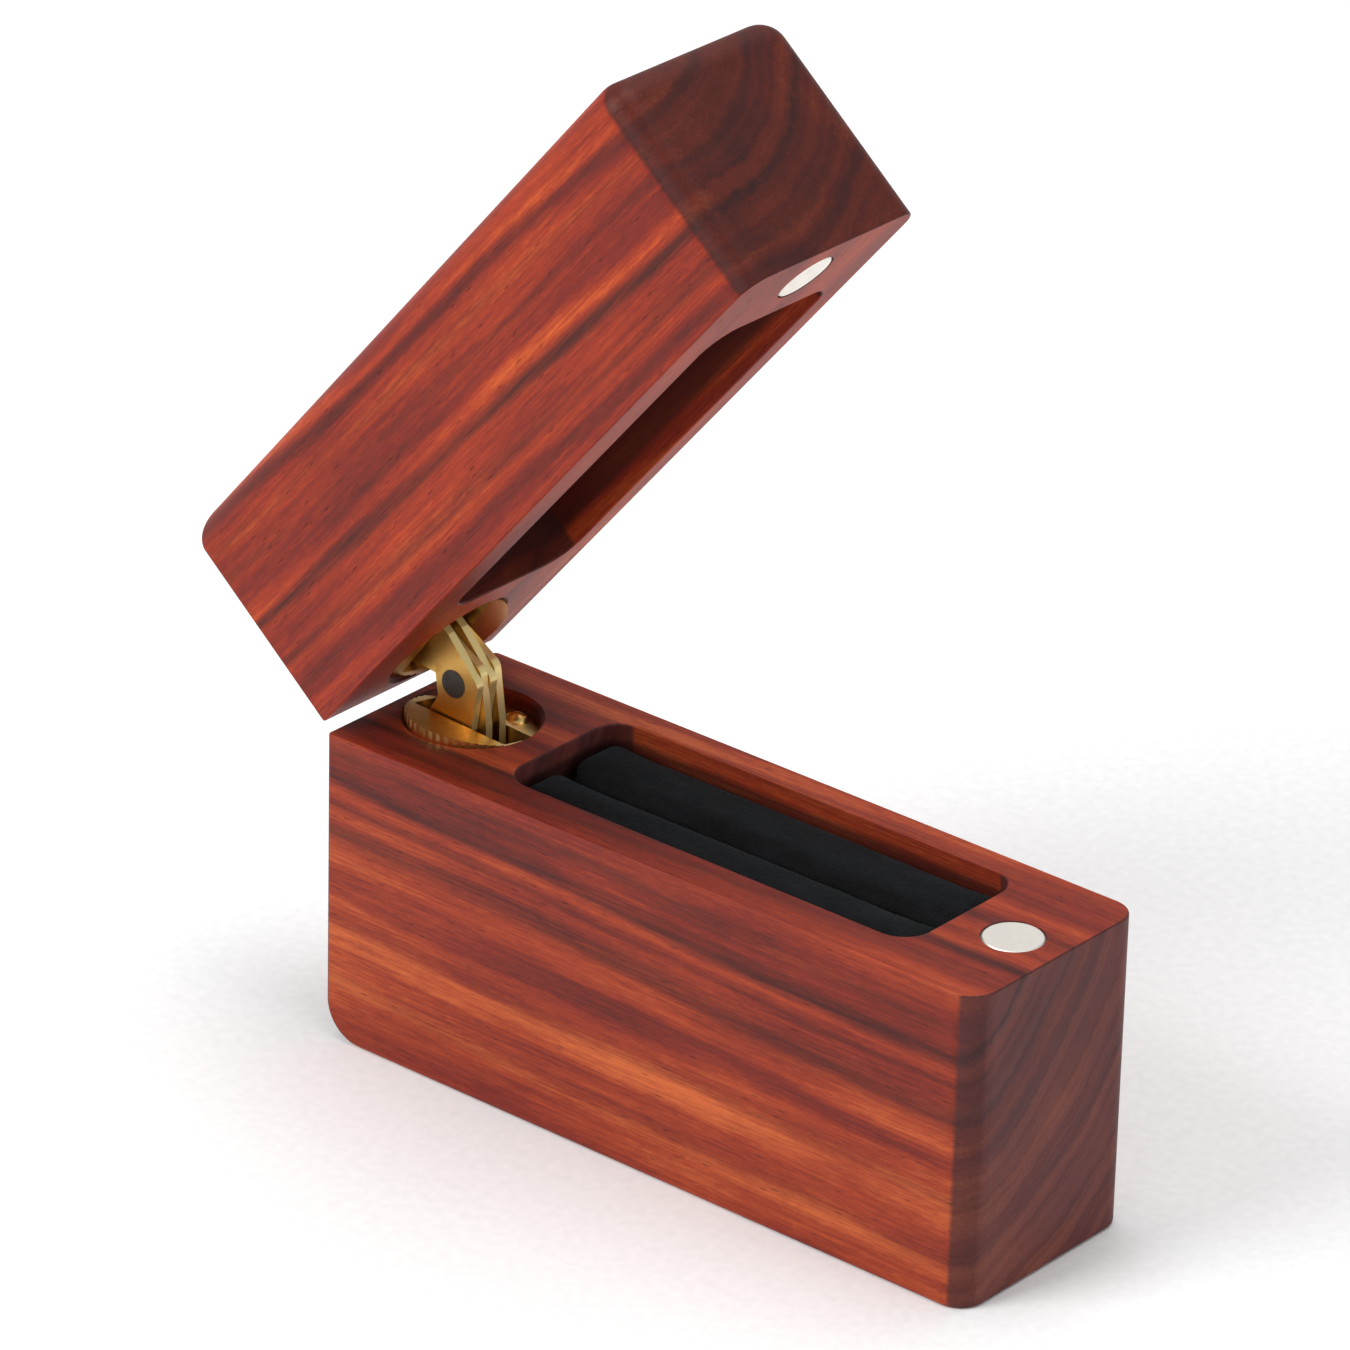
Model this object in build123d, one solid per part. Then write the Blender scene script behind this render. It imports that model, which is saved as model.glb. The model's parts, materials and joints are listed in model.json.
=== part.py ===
from build123d import *
from math import atan2, cos, degrees, hypot, radians, sin, tan
import os

# Slim wooden ring box with a brass barrel hinge at one short end and a magnet catch
# at the other. Frame: millimetres, +Z up, origin at the centre of the base's underside,
# +X towards the catch. The lid is modelled shut, then turned to its open rest position.

# ---- driving dimensions -------------------------------------------------------------
LENGTH = 77.0
WIDTH = 23.6
BASE_HEIGHT = 31.8
LID_HEIGHT = 22.3
EDGE_RADIUS = 2.75        # of the lid's top edges and both blocks' catch-end corners
BASE_HINGE_RADIUS = 4.0   # of the base's lower edge at the hinge end
UNDERSIDE_RADIUS = 0.5    # of the base's other lower edges
EASED_EDGE = 0.2          # sanded rounding of the blocks' other outer edges
CLOSED_GAP = 0.1          # between the two wooden faces when the box is shut
REST_ANGLE = 50.0         # opening of the lid at rest, from shut
OPEN_STEP = 50.0          # further opening, from rest to the links' limit

POCKET_LENGTH = 47.95
POCKET_WIDTH = 16.15
POCKET_CENTRE = (3.1, 0.78)
POCKET_CORNER = 3.0
BASE_POCKET_DEPTH = 17.0
LID_POCKET_DEPTH = 14.5

MAGNET_RADIUS = 3.0
MAGNET_THICKNESS = 2.0
MAGNET_BEVEL = 0.25
MAGNET_X = 33.2
MAGNET_SINK = 0.02

BARREL_RADIUS = 6.4
BARREL_X = -30.9
BARREL_LENGTH = 14.2
HOLE_MOUTH_CHAMFER = 0.35
KNURL_COUNT = 48
KNURL_DEPTH = 0.16
FACE_DROP = 0.35          # barrel face below the wood, at the barrel's axis
FACE_SLOPE_X = 0.05       # fall of the slanted barrel face per millimetre towards +X
FACE_SLOPE_Y = 0.20       # fall per millimetre towards +Y
SLOT_HALF_WIDTH = 2.1
SLOT_LEFT = -5.5          # slot ends, from the barrel's axis
SLOT_RIGHT = 5.75
SLOT_DEPTH = 12.5
SLOT_CORNER = 0.3

PLATE_THICKNESS = 0.9
PLATE_PITCH = 0.95
CENTRE_PIN_RADIUS = 1.4
LINK_PIN_RADIUS = 0.6
GUIDE_PIN_RADIUS = 0.55
RUNNING_CLEARANCE = 0.05
LINK_PIN_DEPTH = 1.55     # of the link pivots below the shut joint line
GUIDE_PIN_X = -29.95
GUIDE_PIN_DEPTH = 7.05    # of the guide pins below the joint line, at rest
GROOVE_REACH = 3.35       # half the distance between the bottoms of the two grooves

SCREW_X = 1.65            # clamp screw's place, from the barrel's axis
SCREW_Y = 4.25
SCREW_HEAD_RADIUS = 1.15
SCREW_DOME = 0.7          # height of the head's dome above the slanted face
SCREW_RIM = 0.25          # of the head, below the slanted face
SCREW_SEAT_DEPTH = 0.3
SCREW_SHANK_RADIUS = 0.7
SCREW_LENGTH = 4.0
SCREW_SLOT_WIDTH = 0.35
SCREW_SLOT_DEPTH = 0.4
SCREW_SLOT_TURN = 25.0

PAD_BOARD_THICKNESS = 1.5
PAD_CLEARANCE = 0.25
PAD_TOP_BELOW_RIM = 2.5
PAD_SLOT = 0.7
PAD_ROLL_RADIUS = 2.6

# ---- the hinge's geometry -----------------------------------------------------------
# The lid turns about a line just outside the hinge end, on the shut joint line. The two
# links and the two blocks form a rhombus: POLE, the base's link pin, the centre pin and
# the lid's link pin. So link A keeps the lid's direction and link B the base's.
JOINT_LINE = BASE_HEIGHT + CLOSED_GAP / 2
POLE_OVERHANG = 1.156
POLE = (-LENGTH / 2 - POLE_OVERHANG, JOINT_LINE)
CENTRE_PIN_REACH = 8.78   # from the pole, along the mirror line, at rest
MIRROR_TILT = radians(REST_ANGLE / 2)
CENTRE_PIN = (POLE[0] + CENTRE_PIN_REACH * cos(MIRROR_TILT),
              POLE[1] + CENTRE_PIN_REACH * sin(MIRROR_TILT))


def base_link_pin_place():
    """The rhombus corner in the base, at LINK_PIN_DEPTH below the joint line."""
    middle_x = (POLE[0] + CENTRE_PIN[0]) / 2
    middle_z = (POLE[1] + CENTRE_PIN[1]) / 2
    z = JOINT_LINE - LINK_PIN_DEPTH
    x = middle_x + (middle_z - z) * tan(MIRROR_TILT)
    return (x, z)


LINK_PIN = base_link_pin_place()
LINK_RADIUS = hypot(CENTRE_PIN[0] - LINK_PIN[0], CENTRE_PIN[1] - LINK_PIN[1])
LINK_DIRECTION = degrees(atan2(CENTRE_PIN[1] - LINK_PIN[1], CENTRE_PIN[0] - LINK_PIN[0]))
GUIDE_PIN = (GUIDE_PIN_X, JOINT_LINE - GUIDE_PIN_DEPTH)
POLE_AXIS = Axis((POLE[0], 0, POLE[1]), (0, -1, 0))
FLIP_AXIS = Axis((0, 0, JOINT_LINE), (1, 0, 0))


def open_lid(shape):
    """Turn a lid piece from its shut place to its rest place."""
    return shape.rotate(POLE_AXIS, REST_ANGLE)


def to_lid_side(shape):
    """Half a turn about the joint line's X axis: base-side piece to its shut lid twin."""
    return shape.rotate(FLIP_AXIS, 180)


def in_lid(x, depth):
    """World (x, z) at rest of a point at x and depth into the lid when it is shut."""
    dx = x - POLE[0]
    turn = radians(REST_ANGLE)
    return (POLE[0] + dx * cos(turn) - depth * sin(turn),
            POLE[1] + dx * sin(turn) + depth * cos(turn))


# ---- wooden blocks ------------------------------------------------------------------
def squared_block(height):
    """Block standing on z = 0 with its two catch-end corners rounded over."""
    block = Pos(0, 0, height / 2) * Box(LENGTH, WIDTH, height)
    return fillet(block.edges().filter_by(Axis.Z).group_by(Axis.X)[-1], EDGE_RADIUS)


def base_blank():
    """The base's outer form: a large round under the hinge end, the rest only broken."""
    block = squared_block(BASE_HEIGHT)
    block = fillet(block.edges().group_by(Axis.Z)[0].group_by(Axis.X)[0], BASE_HINGE_RADIUS)
    tangent_x = -LENGTH / 2 + BASE_HINGE_RADIUS
    underside = [edge for edge in block.edges().group_by(Axis.Z)[0]
                 if abs((edge @ 0.5).X - tangent_x) > 0.01]
    return ease_outline(fillet(underside, UNDERSIDE_RADIUS))


def lid_blank():
    """The lid's outer form, upside down: its top edges, here on z = 0, are rounded over."""
    block = squared_block(LID_HEIGHT)
    block = fillet(block.edges().group_by(Axis.Z)[0], EDGE_RADIUS)
    hinge_corners = block.edges().filter_by(Axis.Z).group_by(Axis.X)[0]
    return ease_outline(fillet(hinge_corners, EASED_EDGE))


def ease_outline(block):
    """Break the outer edges of the block's open face."""
    return fillet(block.edges().group_by(Axis.Z)[-1], EASED_EDGE)


def pocket(depth):
    """Routed pocket, its mouth at z = 0."""
    outline = RectangleRounded(POCKET_LENGTH, POCKET_WIDTH, POCKET_CORNER)
    return Pos(POCKET_CENTRE[0], POCKET_CENTRE[1], -depth) * extrude(outline, depth)


def barrel_hole():
    """Blind hole for a barrel with a chamfered mouth at z = 0."""
    hole = Pos(BARREL_X, 0, -BARREL_LENGTH / 2) * Cylinder(BARREL_RADIUS, BARREL_LENGTH)
    mouth = Cone(BARREL_RADIUS, BARREL_RADIUS + HOLE_MOUTH_CHAMFER, HOLE_MOUTH_CHAMFER)
    return hole + Pos(BARREL_X, 0, -HOLE_MOUTH_CHAMFER / 2) * mouth


def magnet_hole():
    depth = MAGNET_THICKNESS + MAGNET_SINK
    return Pos(MAGNET_X, 0, -depth / 2) * Cylinder(MAGNET_RADIUS, depth)


def carve(blank, height, pocket_depth):
    """A blank with its pocket and holes, the open face up at z = 0."""
    block = Pos(0, 0, -height) * blank - pocket(pocket_depth)
    rim = [edge for edge in block.edges().group_by(Axis.Z)[-1] if inside_pocket_walls(edge)]
    return fillet(rim, EASED_EDGE) - barrel_hole() - magnet_hole()


def inside_pocket_walls(edge):
    """True for an edge of the pocket's mouth, and not of the block's outline."""
    middle = edge @ 0.5
    return (abs(middle.X - POCKET_CENTRE[0]) < POCKET_LENGTH / 2 + EASED_EDGE
            and abs(middle.Y - POCKET_CENTRE[1]) < POCKET_WIDTH / 2 + EASED_EDGE)


def base_block():
    return Pos(0, 0, BASE_HEIGHT) * carve(base_blank(), BASE_HEIGHT, BASE_POCKET_DEPTH)


def lid_block():
    """Mirrored across the joint line, so that its pocket faces the base's."""
    carved = carve(lid_blank(), LID_HEIGHT, LID_POCKET_DEPTH)
    turned = mirror(carved, about=Plane.XY)
    return open_lid(Pos(0, 0, BASE_HEIGHT + CLOSED_GAP) * turned)


# ---- barrels ------------------------------------------------------------------------
def face_height(x, y):
    """Height of the base barrel's slanted face above the wood, from the barrel's axis."""
    return -FACE_DROP - FACE_SLOPE_X * x - FACE_SLOPE_Y * y


def above_slanted_face():
    """Everything above the base barrel's slanted end face."""
    size = 6 * BARREL_RADIUS
    origin = (BARREL_X, 0, BASE_HEIGHT + face_height(0, 0))
    slanted = Plane(origin=origin, z_dir=(FACE_SLOPE_X, FACE_SLOPE_Y, 1))
    return slanted * (Pos(0, 0, size / 2) * Box(size, size, size))


def knurl_grooves():
    """Shallow V grooves along the barrel's wall."""
    half = KNURL_DEPTH * 1.4
    profile = Polygon((BARREL_RADIUS - KNURL_DEPTH, 0), (BARREL_RADIUS + KNURL_DEPTH, -2 * half),
                      (BARREL_RADIUS + KNURL_DEPTH, 2 * half), align=None)
    groove = extrude(profile, BARREL_LENGTH + 2)
    bottom = Pos(BARREL_X, 0, BASE_HEIGHT - BARREL_LENGTH)
    return [bottom * Rot(0, 0, 360 * i / KNURL_COUNT) * groove for i in range(KNURL_COUNT)]


def barrel_slot():
    """Slot that the links fold into."""
    middle = BARREL_X + (SLOT_LEFT + SLOT_RIGHT) / 2
    outline = RectangleRounded(SLOT_RIGHT - SLOT_LEFT, 2 * SLOT_HALF_WIDTH, SLOT_CORNER)
    bottom = BASE_HEIGHT - SLOT_DEPTH
    return Pos(middle, 0, bottom) * extrude(outline, SLOT_DEPTH + 3)


def guide_groove():
    """Curved groove in both cheeks for the guide pin: link B's path in the base."""
    start = LINK_DIRECTION - REST_ANGLE
    centre = (GUIDE_PIN[0] + LINK_PIN[0] - CENTRE_PIN[0],
              GUIDE_PIN[1] + LINK_PIN[1] - CENTRE_PIN[1])
    path = CenterArc(centre, LINK_RADIUS, start, REST_ANGLE + OPEN_STEP)
    outline = SlotArc(path, 2 * (GUIDE_PIN_RADIUS + RUNNING_CLEARANCE))
    return upright(outline, -GROOVE_REACH, GROOVE_REACH)


def upright(outline, y_low, y_high):
    """Extrude an outline drawn as (x, z) between two values of y."""
    drawn_on = Plane(origin=(0, y_high, 0), x_dir=(1, 0, 0), z_dir=(0, -1, 0))
    return extrude(drawn_on * outline, y_high - y_low)


def link_pin(y_low, y_high, radius):
    return upright(Pos(*LINK_PIN) * Circle(radius), y_low, y_high)


def screw_place(depth):
    """Centre of the clamp screw's axis at a depth below the slanted face."""
    x = BARREL_X + SCREW_X
    z = BASE_HEIGHT + face_height(SCREW_X, SCREW_Y) - depth
    return Pos(x, SCREW_Y, z)


def clamp_screw():
    """Small slotted dome-head screw that spreads the barrel in its hole."""
    ball_radius = (SCREW_HEAD_RADIUS ** 2 + SCREW_DOME ** 2) / (2 * SCREW_DOME)
    ball = screw_place(ball_radius - SCREW_DOME) * Sphere(ball_radius)
    rim = screw_place((SCREW_RIM - SCREW_DOME) / 2) * Cylinder(
        SCREW_HEAD_RADIUS, SCREW_RIM + SCREW_DOME)
    shank = screw_place(SCREW_LENGTH / 2) * Cylinder(SCREW_SHANK_RADIUS, SCREW_LENGTH)
    driver_slot = screw_place(-SCREW_DOME) * Rot(0, 0, SCREW_SLOT_TURN) * Box(
        3 * SCREW_HEAD_RADIUS, SCREW_SLOT_WIDTH, 2 * SCREW_SLOT_DEPTH)
    return (ball & rim) + shank - driver_slot


def screw_hole():
    seat = screw_place(0) * Cylinder(SCREW_HEAD_RADIUS + RUNNING_CLEARANCE, 2 * SCREW_SEAT_DEPTH)
    bore = screw_place(SCREW_LENGTH / 2) * Cylinder(SCREW_SHANK_RADIUS, SCREW_LENGTH)
    return seat + bore


def barrel():
    """The base's barrel. The lid's is the same piece, turned half a turn."""
    rise = 2.0
    body = Pos(BARREL_X, 0, BASE_HEIGHT + (rise - BARREL_LENGTH) / 2) * Cylinder(
        BARREL_RADIUS, BARREL_LENGTH + rise)
    body = body - knurl_grooves() - above_slanted_face()
    body = body - barrel_slot() - guide_groove() - screw_hole()
    return body - link_pin(-BARREL_RADIUS, 0, LINK_PIN_RADIUS)


# ---- links --------------------------------------------------------------------------
# The outline of link A at rest, drawn as (x, z). Link B is its mirror image across the
# line from the pole to the centre pin.
LINK_PIN_LOBE = 1.6
ARM_RIGHT = -28.45        # edges of the arm that enters the other block's slot
ARM_LEFT = -31.4
BEND_RIGHT = (-28.7, JOINT_LINE + 4.45)
BEND_LEFT = (-33.95, JOINT_LINE + 4.15)
FOOT_RIGHT = (-29.5, JOINT_LINE - 0.75)
FOOT_LEFT = (-33.6, JOINT_LINE + 1.85)


def link_outline():
    guide_level = GUIDE_PIN_DEPTH
    body = Polygon(FOOT_RIGHT, BEND_RIGHT, in_lid(ARM_RIGHT, 0), in_lid(ARM_RIGHT, guide_level),
                   in_lid(ARM_LEFT, guide_level), in_lid(ARM_LEFT, 0), BEND_LEFT, FOOT_LEFT,
                   (LINK_PIN[0] - LINK_PIN_LOBE, LINK_PIN[1]),
                   (LINK_PIN[0], LINK_PIN[1] - LINK_PIN_LOBE), align=None)
    lobe = Pos(*LINK_PIN) * Circle(LINK_PIN_LOBE)
    arm_end = Pos(*in_lid((ARM_LEFT + ARM_RIGHT) / 2, guide_level)) * Circle(
        (ARM_RIGHT - ARM_LEFT) / 2)
    outline = body + lobe + arm_end
    bends = [v for v in outline.vertices() if near(v, BEND_RIGHT) or near(v, BEND_LEFT)]
    outline = fillet(bends, 1.2)
    feet = [v for v in outline.vertices() if near(v, FOOT_RIGHT) or near(v, FOOT_LEFT)]
    return fillet(feet, 0.8)


def near(vertex, point):
    return abs(vertex.X - point[0]) < 0.01 and abs(vertex.Y - point[1]) < 0.01


def layer(index):
    """The y limits of plate position 0 (front) to 3 (rear)."""
    middle = (index - 1.5) * PLATE_PITCH
    return (middle - PLATE_THICKNESS / 2, middle + PLATE_THICKNESS / 2)


GUIDE_IN_LID = in_lid(GUIDE_PIN_X, GUIDE_PIN_DEPTH)


def link_a_plate(index, pivots_on_link_pin):
    """Link A turns on the base's link pin and is pressed on the centre pin."""
    y_low, y_high = layer(index)
    holes = [Pos(*CENTRE_PIN) * Circle(CENTRE_PIN_RADIUS),
             Pos(*GUIDE_IN_LID) * Circle(GUIDE_PIN_RADIUS)]
    if pivots_on_link_pin:
        holes.append(Pos(*LINK_PIN) * Circle(LINK_PIN_RADIUS + RUNNING_CLEARANCE))
    return upright(link_outline() - holes, y_low, y_high)


def link_b_plate(index, pivots_on_link_pin):
    """Link A's twin, turned over, which runs on the centre pin."""
    y_low, y_high = layer(3 - index)
    holes = [Pos(*CENTRE_PIN) * Circle(CENTRE_PIN_RADIUS + RUNNING_CLEARANCE),
             Pos(*GUIDE_IN_LID) * Circle(GUIDE_PIN_RADIUS)]
    if pivots_on_link_pin:
        holes.append(Pos(*LINK_PIN) * Circle(LINK_PIN_RADIUS + RUNNING_CLEARANCE))
    plate = upright(link_outline() - holes, y_low, y_high)
    mirror_axis = Axis((POLE[0], 0, POLE[1]), (cos(MIRROR_TILT), 0, sin(MIRROR_TILT)))
    return plate.rotate(mirror_axis, 180)


def centre_pin():
    reach = layer(3)[1] + RUNNING_CLEARANCE
    return upright(Pos(*CENTRE_PIN) * Circle(CENTRE_PIN_RADIUS), -reach, reach)


def guide_pin(place):
    reach = GROOVE_REACH - RUNNING_CLEARANCE
    return upright(Pos(*place) * Circle(GUIDE_PIN_RADIUS), -reach, reach)


# ---- magnets and pad ----------------------------------------------------------------
def magnet():
    """Disc magnet in the base's catch end."""
    disc = Pos(MAGNET_X, 0, BASE_HEIGHT - MAGNET_SINK - MAGNET_THICKNESS / 2) * Cylinder(
        MAGNET_RADIUS, MAGNET_THICKNESS)
    rims = disc.edges().filter_by(GeomType.CIRCLE)
    return chamfer(rims, MAGNET_BEVEL)


POCKET_FLOOR = BASE_HEIGHT - BASE_POCKET_DEPTH
ROLL_WIDTH = (POCKET_WIDTH - 2 * PAD_CLEARANCE - PAD_SLOT) / 2


def pad_board():
    """Card that the two rolls are glued to."""
    outline = RectangleRounded(POCKET_LENGTH - 2 * PAD_CLEARANCE, POCKET_WIDTH - 2 * PAD_CLEARANCE,
                               POCKET_CORNER - PAD_CLEARANCE)
    return Pos(POCKET_CENTRE[0], POCKET_CENTRE[1], POCKET_FLOOR) * extrude(
        outline, PAD_BOARD_THICKNESS)


def pad_roll(side):
    """Velvet-covered foam roll along the pocket; side is -1 in front, +1 behind."""
    bottom = POCKET_FLOOR + PAD_BOARD_THICKNESS
    height = BASE_HEIGHT - PAD_TOP_BELOW_RIM - bottom
    length = POCKET_LENGTH - 4 * PAD_CLEARANCE
    roll = Box(length, ROLL_WIDTH, height)
    wall_corners = roll.edges().filter_by(Axis.Z).group_by(Axis.Y)[-1 if side > 0 else 0]
    roll = fillet(wall_corners, POCKET_CORNER - PAD_CLEARANCE)
    roll = fillet(roll.edges().group_by(Axis.Z)[-1], PAD_ROLL_RADIUS)
    y = POCKET_CENTRE[1] + side * (ROLL_WIDTH + PAD_SLOT) / 2
    return Pos(POCKET_CENTRE[0], y, bottom + height / 2) * roll


# ---- the pieces, by node name -------------------------------------------------------
BARREL = barrel()
SCREW = clamp_screw()
BASE_LINK_PIN = link_pin(-BARREL_RADIUS + 1.2, layer(0)[1], LINK_PIN_RADIUS)
MAGNET = magnet()
PIECES = {
    "base_block": base_block(),
    "base_barrel": BARREL,
    "base_clamp_screw": SCREW,
    "base_link_pin": BASE_LINK_PIN,
    "base_magnet": MAGNET,
    "pad_board": pad_board(),
    "pad_roll_front": pad_roll(-1),
    "pad_roll_rear": pad_roll(1),
    "lid_block": lid_block(),
    "lid_barrel": open_lid(to_lid_side(BARREL)),
    "lid_clamp_screw": open_lid(to_lid_side(SCREW)),
    "lid_link_pin": open_lid(to_lid_side(BASE_LINK_PIN)),
    "lid_magnet": open_lid(to_lid_side(MAGNET)),
    "link_a_front_plate": link_a_plate(0, True),
    "link_a_rear_plate": link_a_plate(2, False),
    "link_a_guide_pin": guide_pin(GUIDE_IN_LID),
    "centre_pin": centre_pin(),
    "link_b_front_plate": link_b_plate(1, False),
    "link_b_rear_plate": link_b_plate(3, True),
    "link_b_guide_pin": guide_pin(GUIDE_PIN),
}

os.makedirs("parts", exist_ok=True)
for node, solid in PIECES.items():
    export_step(solid, "parts/" + node + ".step")
print("pole", POLE, "centre pin", CENTRE_PIN, "link pin", LINK_PIN, "link radius", LINK_RADIUS)
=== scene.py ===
import json
from math import cos, pi, radians, sin

import bpy
from mathutils import Matrix, Vector, noise


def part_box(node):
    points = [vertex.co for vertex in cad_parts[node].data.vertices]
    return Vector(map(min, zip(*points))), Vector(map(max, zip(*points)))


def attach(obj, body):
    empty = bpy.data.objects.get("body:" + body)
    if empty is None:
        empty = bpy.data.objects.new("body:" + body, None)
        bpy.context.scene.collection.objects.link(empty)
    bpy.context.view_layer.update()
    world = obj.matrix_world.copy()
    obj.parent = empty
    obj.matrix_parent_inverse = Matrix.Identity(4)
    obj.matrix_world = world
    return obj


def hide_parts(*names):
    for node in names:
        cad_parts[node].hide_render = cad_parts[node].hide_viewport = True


# Looks for the slim rosewood ring box: metres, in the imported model's frame.
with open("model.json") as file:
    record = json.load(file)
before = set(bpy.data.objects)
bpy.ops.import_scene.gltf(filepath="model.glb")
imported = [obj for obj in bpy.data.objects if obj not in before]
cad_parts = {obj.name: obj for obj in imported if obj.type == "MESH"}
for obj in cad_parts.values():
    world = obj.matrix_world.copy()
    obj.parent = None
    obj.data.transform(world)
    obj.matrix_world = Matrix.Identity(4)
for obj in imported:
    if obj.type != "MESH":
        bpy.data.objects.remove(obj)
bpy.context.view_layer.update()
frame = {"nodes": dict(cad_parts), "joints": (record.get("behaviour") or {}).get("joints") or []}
nodes = frame["nodes"]
MM = 0.001

# ---- places taken from the frame ------------------------------------------------------
FLOOR_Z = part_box("base_block")[0].z
HINGE = next(j for j in frame["joints"] if j["name"] == "lid_hinge")
POLE = Vector(HINGE["pos_m"])
REST_ANGLE = radians(50)
LID_TO_SHUT = Matrix.Rotation(REST_ANGLE, 3, "Y")


# ---- small helpers for shader nodes ---------------------------------------------------
class Graph:
    """One material's nodes, with short calls for the kinds used below."""

    def __init__(self, name):
        self.material = bpy.data.materials.new(name)
        self.material.use_nodes = True
        self.tree = self.material.node_tree
        self.tree.nodes.clear()
        self.output = self.add("ShaderNodeOutputMaterial")
        self.shader = self.add("ShaderNodeBsdfPrincipled")
        self.join(self.shader.outputs["BSDF"], self.output.inputs["Surface"])

    def add(self, kind, **settings):
        node = self.tree.nodes.new(kind)
        for key, value in settings.items():
            setattr(node, key, value)
        return node

    def join(self, source, target):
        self.tree.links.new(source, target)

    def feed(self, target, value):
        """Link a socket, or set a plain value."""
        if isinstance(value, bpy.types.NodeSocket):
            self.join(value, target)
        else:
            target.default_value = value

    def set(self, **values):
        """Set or link the shader's own inputs by name."""
        for name, value in values.items():
            self.feed(self.shader.inputs[name.replace("_", " ")], value)

    def math(self, operation, a, b=0.0, c=0.0, clamp=False):
        node = self.add("ShaderNodeMath", operation=operation, use_clamp=clamp)
        for socket, value in zip(node.inputs, (a, b, c)):
            self.feed(socket, value)
        return node.outputs[0]

    def coordinates(self, output="Object"):
        return self.add("ShaderNodeTexCoord").outputs[output]

    def placed(self, vector, location=(0, 0, 0), rotation=(0, 0, 0), scale=(1, 1, 1)):
        node = self.add("ShaderNodeMapping")
        self.join(vector, node.inputs["Vector"])
        node.inputs["Location"].default_value = location
        node.inputs["Rotation"].default_value = rotation
        node.inputs["Scale"].default_value = scale
        return node.outputs["Vector"]

    def split(self, vector):
        node = self.add("ShaderNodeSeparateXYZ")
        self.join(vector, node.inputs[0])
        return node.outputs

    def merge(self, x, y, z):
        node = self.add("ShaderNodeCombineXYZ")
        for socket, value in zip(node.inputs, (x, y, z)):
            self.feed(socket, value)
        return node.outputs[0]

    def noise(self, vector, scale, detail=2.0, roughness=0.5, distortion=0.0):
        node = self.add("ShaderNodeTexNoise")
        self.join(vector, node.inputs["Vector"])
        node.inputs["Scale"].default_value = scale
        node.inputs["Detail"].default_value = detail
        node.inputs["Roughness"].default_value = roughness
        node.inputs["Distortion"].default_value = distortion
        return node.outputs["Fac"]

    def cells(self, vector, scale):
        node = self.add("ShaderNodeTexVoronoi")
        self.join(vector, node.inputs["Vector"])
        node.inputs["Scale"].default_value = scale
        return node.outputs["Distance"]

    def ramp(self, value, *stops):
        """A linear map of a value; each stop is a position and a number or a colour."""
        node = self.add("ShaderNodeValToRGB")
        self.join(value, node.inputs["Fac"])
        elements = node.color_ramp.elements
        while len(elements) < len(stops):
            elements.new(0.5)
        for element, (position, level) in zip(elements, stops):
            element.position = position
            colour = level if isinstance(level, tuple) else (level,) * 3
            element.color = (*colour, 1)
        return node.outputs["Color"]

    def between(self, value, low, high):
        """0 below low, 1 above high, smooth between them."""
        node = self.add("ShaderNodeMapRange", interpolation_type="SMOOTHSTEP")
        self.join(value, node.inputs["Value"])
        node.inputs["From Min"].default_value = low
        node.inputs["From Max"].default_value = high
        return node.outputs["Result"]

    def mix(self, factor, a, b, blend="MIX"):
        node = self.add("ShaderNodeMix", data_type="RGBA", blend_type=blend)
        self.feed(node.inputs["Factor"], factor)
        for socket, value in ((node.inputs[6], a), (node.inputs[7], b)):
            self.feed(socket, (*value, 1) if isinstance(value, tuple) else value)
        return node.outputs[2]

    def bump(self, height, distance, strength=1.0):
        node = self.add("ShaderNodeBump")
        self.join(height, node.inputs["Height"])
        node.inputs["Distance"].default_value = distance
        node.inputs["Strength"].default_value = strength
        return node.outputs["Normal"]


def srgb(red, green, blue):
    """Linear colour from display values of 0 to 255."""
    def linear(level):
        share = level / 255
        return share / 12.92 if share <= 0.04045 else ((share + 0.055) / 1.055) ** 2.4
    return (linear(red), linear(green), linear(blue))


def paint(material, *names):
    for name in names:
        slots = nodes[name].data.materials
        slots.clear()
        slots.append(material)


# ---- rosewood -------------------------------------------------------------------------
def wood_place(g, in_lid):
    """Coordinates in millimetres and the surface normal, both as if the box were shut."""
    place = g.coordinates("Object")
    normal = g.coordinates("Normal")
    if in_lid:
        turn = (0, REST_ANGLE, 0)
        place = g.placed(place, location=POLE - LID_TO_SHUT @ POLE, rotation=turn)
        normal = g.placed(normal, rotation=turn)
    return g.placed(place, scale=(1 / MM, 1 / MM, 1 / MM)), normal


def ring_distance(g, place, pith, fall):
    """Distance from the pith line at (y, z), which drops along X, bent by slow waves."""
    x, y, z = g.split(place)
    slow = g.noise(g.placed(place, scale=(0.018, 0.10, 0.10)), 1.0, 3.0, 0.55)
    ripple = g.noise(g.placed(place, scale=(0.05, 0.7, 0.7)), 1.0, 2.0)
    dy = g.math("SUBTRACT", y, pith[0])
    dz = g.math("SUBTRACT", z, pith[1])
    squares = g.math("ADD", g.math("MULTIPLY", dy, dy), g.math("MULTIPLY", dz, dz))
    radius = g.math("SQRT", squares)
    radius = g.math("SUBTRACT", radius, g.math("MULTIPLY", x, fall))
    radius = g.math("MULTIPLY_ADD", g.math("SUBTRACT", slow, 0.5), 3.2, radius)
    return g.math("MULTIPLY_ADD", g.math("SUBTRACT", ripple, 0.5), 0.9, radius)


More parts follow.
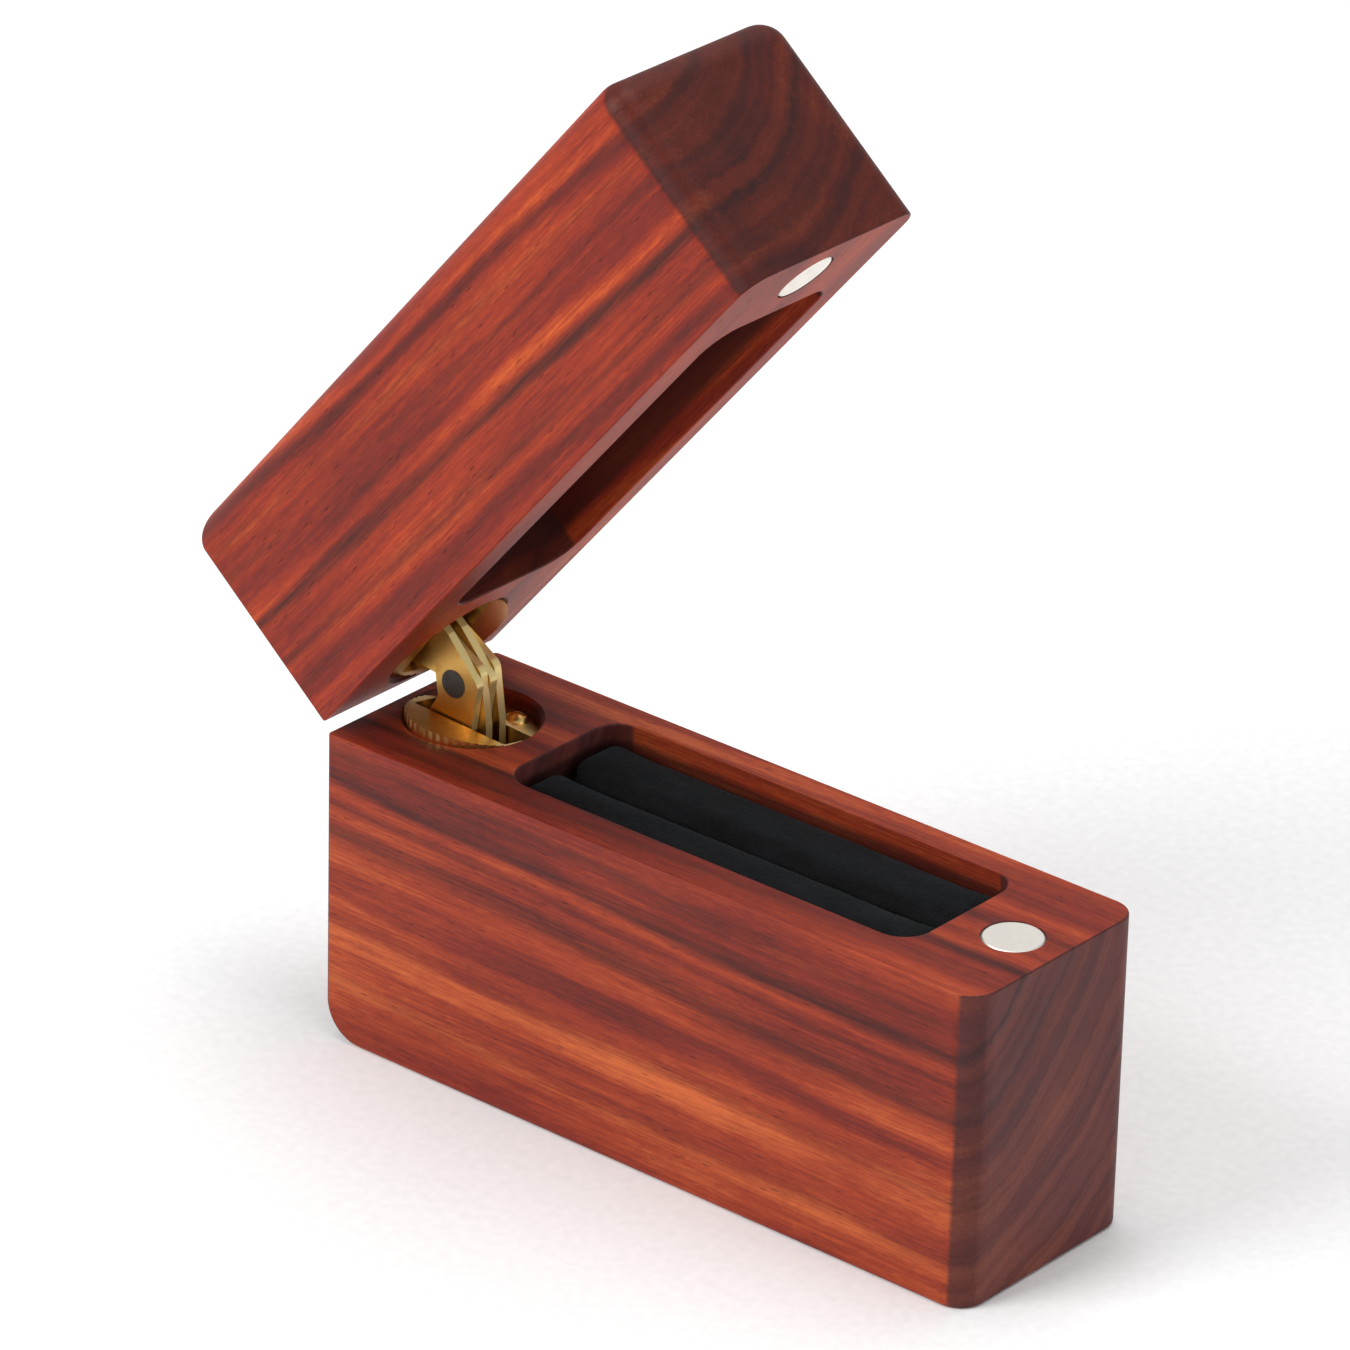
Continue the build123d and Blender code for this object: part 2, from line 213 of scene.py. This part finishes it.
def shut_box(name, in_lid):
    """Lowest and highest corners of a block in millimetres, as if the box were shut."""
    corners = [v.co for v in nodes[name].data.vertices]
    if in_lid:
        corners = [POLE + LID_TO_SHUT @ (corner - POLE) for corner in corners]
    low = [min(corner[i] for corner in corners) / MM for i in range(3)]
    high = [max(corner[i] for corner in corners) / MM for i in range(3)]
    return low, high


def routed_and_shaded_walls(g, place, low, high):
    """0 on the block's outside, 1 on the walls of its pocket and holes, rising between 1.2 and 2.2
    mm in from the outer faces; it masks bare routed wood and painted shade on those walls.
    """
    away = None
    for value, least, most in zip(g.split(place), low, high):
        near = g.math("MINIMUM", g.math("SUBTRACT", value, least), g.math("SUBTRACT", most, value))
        away = near if away is None else g.math("MINIMUM", away, near)
    return g.between(away, 1.2, 2.2)


def dark_veins(g, place, radius, veins):
    """Dark growth lines, each (distance from the pith, half width, strength), worn in places."""
    worn = g.noise(g.placed(place, scale=(0.045, 1.3, 1.3)), 1.0, 4.0, 0.7)
    dark = None
    for distance, half_width, strength in veins:
        off = g.math("ABSOLUTE", g.math("SUBTRACT", radius, distance))
        soft = g.math("SUBTRACT", 1.0, g.between(off, 0.0, 2.2 * half_width))
        soft = g.math("MULTIPLY", soft, strength)
        dark = soft if dark is None else g.math("MAXIMUM", dark, soft)
    return g.math("MULTIPLY", dark, g.between(worn, 0.20, 0.60), clamp=True)


def pores(g, place):
    """Open pores: short dark dashes along the grain, dots on the end grain."""
    spread = g.placed(place, scale=(0.30, 2.3, 2.3))
    pore = g.math("SUBTRACT", 1.0, g.between(g.cells(spread, 1.0), 0.06, 0.20))
    return g.math("MULTIPLY", pore, g.between(g.noise(spread, 0.35, 1.0), 0.38, 0.60))


def wood_noises(g, place, radius):
    """Broad bands, narrow bands, fibres and fine threads; the bands follow the rings."""
    x, y, _ = g.split(place)
    ringed = g.merge(g.math("MULTIPLY", x, 0.010), radius, g.math("MULTIPLY", y, 0.02))
    broad = g.noise(ringed, 0.24, 2.0, 0.6)
    narrow = g.noise(ringed, 0.95, 3.0, 0.62)
    fibres = g.noise(g.placed(place, scale=(0.07, 4.2, 4.2)), 1.0, 4.0, 0.65)
    threads = g.noise(g.placed(place, scale=(0.20, 12.0, 12.0)), 1.0, 2.0, 0.6)
    return broad, narrow, fibres, threads


def long_grain(g, place, broad, narrow, fibres, tones):
    """Colour along the fibres, before veins and pores."""
    flecks = g.noise(g.placed(place, scale=(0.50, 2.6, 2.6)), 1.0, 4.0, 0.75)
    glow = g.noise(g.placed(place, scale=(0.035, 0.16, 0.16)), 1.0, 2.0, 0.5)
    tone = g.math("MULTIPLY_ADD", narrow, 0.20, g.math("MULTIPLY_ADD", broad, 0.46, 0.06))
    for noise_value, weight in ((fibres, 0.20), (flecks, 0.20), (glow, 0.30)):
        tone = g.math("MULTIPLY_ADD", g.math("SUBTRACT", noise_value, 0.5), weight, tone)
    height = g.split(place)[2]
    paler = g.math("SUBTRACT", 1.0, g.between(height, *PALE_FOOT))
    tone = g.math("MULTIPLY_ADD", paler, 0.055, tone)
    return g.ramp(tone, (0.22, tones["dark"]), (0.35, tones["red"]), (0.45, tones["warm"]),
                  (0.58, tones["orange"]))


def end_grain(g, colour, narrow, across, tones):
    """Darker wood where the fibres are cut across, and a painted sheen that lightens the flat end
    in place of the light it reflects.
    """
    rings = g.ramp(narrow, (0.38, tones["end dark"]), (0.62, tones["end light"]))
    painted_end_sheen = g.mix(0.25, rings, colour)
    deep = g.mix(0.22, g.mix(0.5, rings, tones["corner"]), colour)
    colour = g.mix(g.between(across, 0.16, 0.36), colour, deep)
    # Flat ends are mixed back towards the long-grain colour: painted sheen standing in for
    # reflected light.
    return g.mix(g.between(across, *FLAT_END), colour, painted_end_sheen)


def wood_relief(g, place, fibres, threads, pore):
    """Raised fibres, open pores and faint sanding scratches."""
    sanding = g.noise(g.placed(place, scale=(0.7, 9.0, 9.0)), 1.0, 2.0)
    relief = g.math("MULTIPLY_ADD", fibres, 0.45, g.math("MULTIPLY", threads, 0.25))
    relief = g.math("SUBTRACT", relief, g.math("MULTIPLY", pore, 0.8))
    relief = g.math("MULTIPLY_ADD", sanding, 0.12, relief)
    return g.bump(relief, 0.06 * MM, 0.8)


def rosewood(node, pith, fall, veins, tones, in_lid):
    """Oiled rosewood as one solid texture, with the grain along X."""
    g = Graph(node.replace("block", "rosewood"))
    place, normal = wood_place(g, in_lid)
    radius = ring_distance(g, place, pith, fall)
    broad, narrow, fibres, threads = wood_noises(g, place, radius)
    pore = pores(g, place)

    colour = long_grain(g, place, broad, narrow, fibres, tones)
    colour = g.mix(dark_veins(g, place, radius, veins), colour, tones["vein"])
    colour = g.mix(g.math("MULTIPLY", pore, 0.60), colour, tones["vein"])
    threaded = g.math("MULTIPLY_ADD", threads, 0.80, 0.60)
    colour = g.mix(1.0, colour, g.merge(threaded, threaded, threaded), "MULTIPLY")
    across = g.math("ABSOLUTE", g.split(normal)[0])
    colour = end_grain(g, colour, narrow, across, tones)
    # Pocket and hole walls pulled towards the corner tone: partly bare routed wood, partly painted
    # shade in the recesses, deepening away from the rim.
    routed_and_shaded = routed_and_shaded_walls(g, place, *shut_box(node, in_lid))
    colour = g.mix(g.math("MULTIPLY", routed_and_shaded, 0.78), colour, tones["corner"])

    rough = g.math("MULTIPLY_ADD", fibres, 0.16, 0.40)
    rough = g.math("MULTIPLY_ADD", pore, 0.25, rough)
    rough = g.math("MULTIPLY_ADD", g.between(across, *FLAT_END), 0.06, rough)
    g.set(Base_Color=colour, Roughness=rough, Specular_IOR_Level=0.22,
          Normal=wood_relief(g, place, fibres, threads, pore))
    return g.material


# FLAT_END also marks where the painted sheen lightens the flat ends.
FLAT_END = (0.90, 0.985)  # how squarely the surface cuts the fibres on the flat ends
PALE_FOOT = (12, 24)      # heights between which the base's paler foot fades out
# The base's end dark and end light tones hold a grey cast of painted sheen on top of the end-grain
# colour. In both tables, corner is the end-grain tone of the rounded corners and also the painted
# shade on the pocket walls.
BASE_TONES = {"dark": srgb(72, 24, 19), "red": srgb(118, 36, 24), "warm": srgb(150, 55, 28),
              "orange": srgb(192, 94, 48), "vein": srgb(46, 19, 18), "corner": srgb(34, 14, 14),
              "end dark": srgb(68, 42, 45), "end light": srgb(90, 56, 55)}
LID_TONES = {"dark": srgb(74, 22, 16), "red": srgb(122, 33, 19), "warm": srgb(156, 50, 20),
             "orange": srgb(204, 90, 34), "vein": srgb(44, 17, 15), "corner": srgb(58, 22, 19),
             "end dark": srgb(28, 13, 14), "end light": srgb(46, 19, 17)}
BASE_VEINS = ((22.6, 0.4, 0.50), (24.8, 0.5, 0.75), (27.2, 0.3, 0.35), (30.1, 0.75, 0.62),
              (38.0, 0.5, 0.25), (44.0, 0.6, 0.20))
LID_VEINS = ((17.1, 0.5, 0.40), (19.6, 0.4, 0.35), (22.1, 0.4, 0.38), (27.3, 0.5, 0.85),
             (31.6, 0.6, 0.45), (34.4, 0.4, 0.30))


def paint_wood():
    base = rosewood("base_block", (-26.0, 46.8), 0.03, BASE_VEINS, BASE_TONES, False)
    lid = rosewood("lid_block", (-12.0, 68.3), 0.05, LID_VEINS, LID_TONES, True)
    paint(base, "base_block")
    paint(lid, "lid_block")


# ---- metals ---------------------------------------------------------------------------
def metal(name, colour, stained, rough, grain_scale, relief=0.01 * MM):
    """Metal with stains, fine directional marks and small dents."""
    g = Graph(name)
    place = g.placed(g.coordinates(), scale=(1 / MM, 1 / MM, 1 / MM))
    stain = g.noise(place, 0.9, 4.0, 0.6)
    marks = g.noise(g.placed(place, scale=grain_scale), 1.0, 3.0, 0.6)
    dents = g.noise(place, 5.0, 2.0)
    spots = g.between(stain, 0.46, 0.70)
    tint = g.mix(g.math("MULTIPLY", spots, 0.40), colour, stained)
    shade = g.math("MULTIPLY_ADD", g.math("SUBTRACT", marks, 0.5), 0.10, rough)
    shade = g.math("MULTIPLY_ADD", spots, 0.06, shade)
    height = g.math("MULTIPLY_ADD", dents, 0.25, g.math("MULTIPLY", marks, 0.4))
    g.set(Base_Color=tint, Metallic=1.0, Roughness=shade, Normal=g.bump(height, relief, 0.7))
    return g


FINE_RELIEF = 0.005 * MM


def link_brass():
    """Stamped plates: tarnished flat faces, and sheared edges painted pale and less metallic,
    partly bare brass and partly a painted highlight.
    """
    g = metal("link_brass", srgb(240, 192, 104), srgb(206, 146, 72), 0.30, (1.6, 0.8, 9.0),
              FINE_RELIEF)
    flat = g.between(g.math("ABSOLUTE", g.split(g.coordinates("Normal"))[1]), 0.7, 0.95)
    clean = g.shader.inputs["Base Color"].links[0].from_socket
    # The edge colour is partly bare sheared brass and partly a painted highlight standing in for
    # the edges' reflections.
    g.set(Base_Color=g.mix(flat, srgb(255, 232, 160), clean),
          Metallic=g.math("MULTIPLY_ADD", flat, 0.30, 0.70))
    return g.material


def barrel_brass():
    """Turned and knurled barrel."""
    return metal("barrel_brass", srgb(246, 204, 126), srgb(214, 156, 84), 0.30, (7.0, 0.9, 0.9),
                 FINE_RELIEF).material


def pin_steel():
    return metal("pin_steel", srgb(96, 92, 88), srgb(58, 54, 52), 0.36, (6.0, 1.0, 6.0)).material


def magnet_nickel():
    return metal("magnet_nickel", srgb(250, 246, 238), srgb(232, 224, 210), 0.46,
                 (3.0, 3.0, 3.0)).material


def paint_metals():
    paint(link_brass(), "link_a_front_plate", "link_a_rear_plate", "link_b_front_plate",
          "link_b_rear_plate")
    paint(barrel_brass(), "base_barrel", "lid_barrel", "base_clamp_screw", "lid_clamp_screw")
    paint(pin_steel(), "centre_pin", "base_link_pin", "lid_link_pin", "link_a_guide_pin",
          "link_b_guide_pin")
    paint(magnet_nickel(), "base_magnet", "lid_magnet")


# ---- card under the pad ---------------------------------------------------------------
def paint_card():
    g = Graph("pad_card")
    place = g.placed(g.coordinates(), scale=(1 / MM, 1 / MM, 1 / MM))
    pulp = g.noise(place, 3.0, 4.0, 0.7)
    g.set(Base_Color=g.ramp(pulp, (0.3, srgb(52, 48, 44)), (0.7, srgb(82, 76, 68))), Roughness=0.9,
          Normal=g.bump(pulp, 0.03 * MM))
    paint(g.material, "pad_board")


# ---- velvet rolls ---------------------------------------------------------------------
PILE_SEED = 7


def velvet():
    """Black velvet: short dense pile that shines at grazing angles, brushed in patches."""
    g = Graph("black_velvet")
    place = g.placed(g.coordinates(), scale=(1 / MM, 1 / MM, 1 / MM))
    pile = g.noise(g.placed(place, scale=(5.0, 5.0, 2.5)), 1.0, 3.0, 0.7)
    brushed = g.noise(g.placed(place, scale=(0.22, 0.5, 0.5)), 1.0, 3.0, 0.6, 0.4)
    tufts = g.cells(place, 6.0)
    shade = g.math("MULTIPLY_ADD", g.math("SUBTRACT", brushed, 0.5), 0.9, pile)
    colour = g.ramp(shade, (0.25, srgb(5, 5, 6)), (0.75, srgb(19, 20, 22)))
    height = g.math("MULTIPLY_ADD", tufts, -0.6, pile)
    g.set(Base_Color=colour, Roughness=0.95, Specular_IOR_Level=0.15, Sheen_Weight=0.05,
          Sheen_Roughness=0.4, Sheen_Tint=(*srgb(170, 190, 200), 1),
          Normal=g.bump(height, 0.12 * MM, 0.9))
    return g.material


RINGS = 60                # of points along a roll, and round it
AROUND = 44
END_DROP = 0.07           # share of the height that the crown loses at the roll's ends
PROUD = 1.4 * MM          # the pile stands this far above the pressed foam


def roll_form(name, low, high):
    """Closed form for one foam roll: crowned on top, square below, lower at its ends."""
    middle = (low + high) / 2
    half = (high - low) / 2
    corners = []
    for i in range(RINGS + 1):
        along = -1 + 2 * i / RINGS
        crown = 1 - END_DROP * (1 - (1 - abs(along) ** 10) ** 0.5)
        for k in range(AROUND):
            angle = 2 * pi * k / AROUND
            c, s = cos(angle), sin(angle)
            wide, tall = (0.36, 0.55) if s > 0 else (0.20, 0.20)
            y = half.y * abs(c) ** wide * (1 if c > 0 else -1)
            z = half.z * abs(s) ** tall * (crown if s > 0 else -1)
            corners.append((middle.x + half.x * along, middle.y + y, middle.z + z))
    faces = [tuple(range(AROUND - 1, -1, -1)),
             tuple(range(RINGS * AROUND, (RINGS + 1) * AROUND))]
    for i in range(RINGS):
        for k in range(AROUND):
            a = i * AROUND + k
            b = i * AROUND + (k + 1) % AROUND
            faces.append((a, b, b + AROUND, a + AROUND))
    mesh = bpy.data.meshes.new(name)
    mesh.from_pydata(corners, [], faces)
    mesh.update()
    obj = bpy.data.objects.new(name, mesh)
    bpy.context.scene.collection.objects.link(obj)
    return obj


def select_only(obj):
    bpy.ops.object.select_all(action="DESELECT")
    obj.select_set(True)
    bpy.context.view_layer.objects.active = obj


def apply_modifier(obj, modifier):
    select_only(obj)
    bpy.ops.object.modifier_apply(modifier=modifier.name)


def remesh(obj, voxel):
    modifier = obj.modifiers.new("remesh", "REMESH")
    modifier.mode = "VOXEL"
    modifier.voxel_size = voxel
    apply_modifier(obj, modifier)


SIM_SCALE = 100           # cloth needs pieces of ordinary size, so the roll is simulated enlarged
SIM_FRAMES = 20
SIM_PRESSURE = 4.0
SWELL_LIMIT = 0.45 * MM


def inflate(obj):
    """Swell the covered foam by cloth pressure, each point by SWELL_LIMIT at most."""
    start = [v.co.copy() for v in obj.data.vertices]
    obj.data.transform(Matrix.Scale(SIM_SCALE, 4))
    modifier = obj.modifiers.new("cloth", "CLOTH")
    settings = modifier.settings
    settings.quality = 4
    settings.mass = 0.3
    settings.use_pressure = True
    settings.uniform_pressure_force = SIM_PRESSURE
    settings.tension_stiffness = 12
    settings.compression_stiffness = 12
    settings.shear_stiffness = 6
    settings.bending_stiffness = 2
    settings.effector_weights.gravity = 0
    modifier.collision_settings.use_collision = False
    scene = bpy.context.scene
    for step in range(1, SIM_FRAMES + 1):
        scene.frame_set(step)
    apply_modifier(obj, modifier)
    scene.frame_set(1)
    obj.data.transform(Matrix.Scale(1 / SIM_SCALE, 4))
    for vertex, was in zip(obj.data.vertices, start):
        move = vertex.co - was
        if move.length > SWELL_LIMIT:
            vertex.co = was + move.normalized() * SWELL_LIMIT


def keep_inside(obj, low, high):
    """The pocket walls, the board and the next roll stop the cover."""
    for vertex in obj.data.vertices:
        for axis in range(3):
            vertex.co[axis] = min(max(vertex.co[axis], low[axis]), high[axis])


def raise_pile(obj, height):
    """Fine uneven pile, moved along each point's normal."""
    offset = Vector((PILE_SEED, 0, 0))
    normals = [v.normal.copy() for v in obj.data.vertices]
    for vertex, normal in zip(obj.data.vertices, normals):
        place = vertex.co / MM
        tuft = noise.noise(place * 3.1 + offset) * 0.6 + noise.noise(place * 7.3 + offset) * 0.4
        lie = noise.noise(place * 0.45 + offset)
        vertex.co += normal * height * (tuft + 0.9 * lie)


ROLL_VOXEL = 0.42 * MM
PILE_HEIGHT = 0.05 * MM
SWELL_ROOM = Vector((0.25, 0.15, 0.12)) * MM


def velvet_roll(node, body, material):
    """Padded roll that stands for the CAD node of its foam."""
    low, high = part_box(node)
    high = high + Vector((0, 0, PROUD))
    obj = roll_form(node.replace("pad_", "velvet_"), low + SWELL_ROOM, high - SWELL_ROOM)
    remesh(obj, ROLL_VOXEL)
    inflate(obj)
    modifier = obj.modifiers.new("smooth", "SUBSURF")
    modifier.levels = 1
    apply_modifier(obj, modifier)
    raise_pile(obj, PILE_HEIGHT)
    keep_inside(obj, low, high)
    obj.data.materials.append(material)
    obj.data.shade_smooth()
    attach(obj, body)
    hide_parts(node)


# ---- camera, light and floor ----------------------------------------------------------
CAMERA_AZIMUTH = radians(39.72)
CAMERA_ELEVATION = radians(26.23)
CAMERA_ROLL = radians(1.46)
CAMERA_DISTANCE = 770 * MM
CAMERA_AIM = Vector((-9.4, 3.4, 42.1)) * MM
CAMERA_LENS = 224.8


def add_camera():
    back = Vector((sin(CAMERA_AZIMUTH) * cos(CAMERA_ELEVATION),
                   -cos(CAMERA_AZIMUTH) * cos(CAMERA_ELEVATION), sin(CAMERA_ELEVATION)))
    level = Vector((cos(CAMERA_AZIMUTH), sin(CAMERA_AZIMUTH), 0))
    right = Matrix.Rotation(CAMERA_ROLL, 3, back) @ level
    up = back.cross(right)
    data = bpy.data.cameras.new("camera")
    data.lens = CAMERA_LENS
    data.clip_start = 0.01
    data.clip_end = 20
    camera = bpy.data.objects.new("camera", data)
    turn = Matrix((right, up, back)).transposed().to_4x4()
    camera.matrix_world = Matrix.Translation(CAMERA_AIM + back * CAMERA_DISTANCE) @ turn
    bpy.context.scene.collection.objects.link(camera)
    bpy.context.scene.camera = camera


LIGHT_AIM = Vector((0, 0, 0.045))


def add_area_light(name, place, size, power):
    data = bpy.data.lights.new(name, "AREA")
    data.shape = "RECTANGLE"
    data.size, data.size_y = size
    data.energy = power
    light = bpy.data.objects.new(name, data)
    light.location = place
    light.rotation_mode = "QUATERNION"
    light.rotation_quaternion = (LIGHT_AIM - Vector(place)).to_track_quat("-Z", "Y")
    bpy.context.scene.collection.objects.link(light)


def add_lights():
    add_area_light("key", (-0.35, -0.75, 0.62), (0.5, 0.5), 7.0)
    add_area_light("top", (-0.05, 0.15, 0.95), (0.6, 0.6), 4.5)
    add_area_light("end_fill", (0.9, 0.1, 0.35), (0.4, 0.6), 1.2)
    world = bpy.data.worlds.new("studio")
    bpy.context.scene.world = world
    world.use_nodes = True
    world.node_tree.nodes["Background"].inputs["Color"].default_value = (1, 1, 1, 1)
    world.node_tree.nodes["Background"].inputs["Strength"].default_value = 0.45


def add_floor():
    """Pale floor that curves up into a backdrop."""
    size, rise, bend, half_width = 1.6, 1.2, 0.35, 2.5
    profile = [(-size, 0.0), (size - bend, 0.0)]
    steps = 16
    for i in range(1, steps + 1):
        angle = pi / 2 * i / steps
        profile.append((size - bend + bend * sin(angle), bend - bend * cos(angle)))
    profile.append((size, rise))
    corners = [(x, y, FLOOR_Z + z) for y, z in profile for x in (-half_width, half_width)]
    faces = [(2 * i, 2 * i + 1, 2 * i + 3, 2 * i + 2) for i in range(len(profile) - 1)]
    mesh = bpy.data.meshes.new("floor")
    mesh.from_pydata(corners, [], faces)
    mesh.shade_smooth()
    floor = bpy.data.objects.new("floor", mesh)
    bpy.context.scene.collection.objects.link(floor)
    g = Graph("floor_paper")
    paper = g.noise(g.coordinates(), 900.0, 2.0)
    g.set(Base_Color=g.ramp(paper, (0.3, srgb(240, 240, 240)), (0.7, srgb(246, 246, 246))),
          Roughness=0.9)
    mesh.materials.append(g.material)


# ---- put together ---------------------------------------------------------------------
paint_wood()
paint_metals()
paint_card()
VELVET = velvet()
velvet_roll("pad_roll_front", "base", VELVET)
velvet_roll("pad_roll_rear", "base", VELVET)
add_camera()
add_lights()
add_floor()
bpy.context.scene.view_settings.view_transform = "Standard"
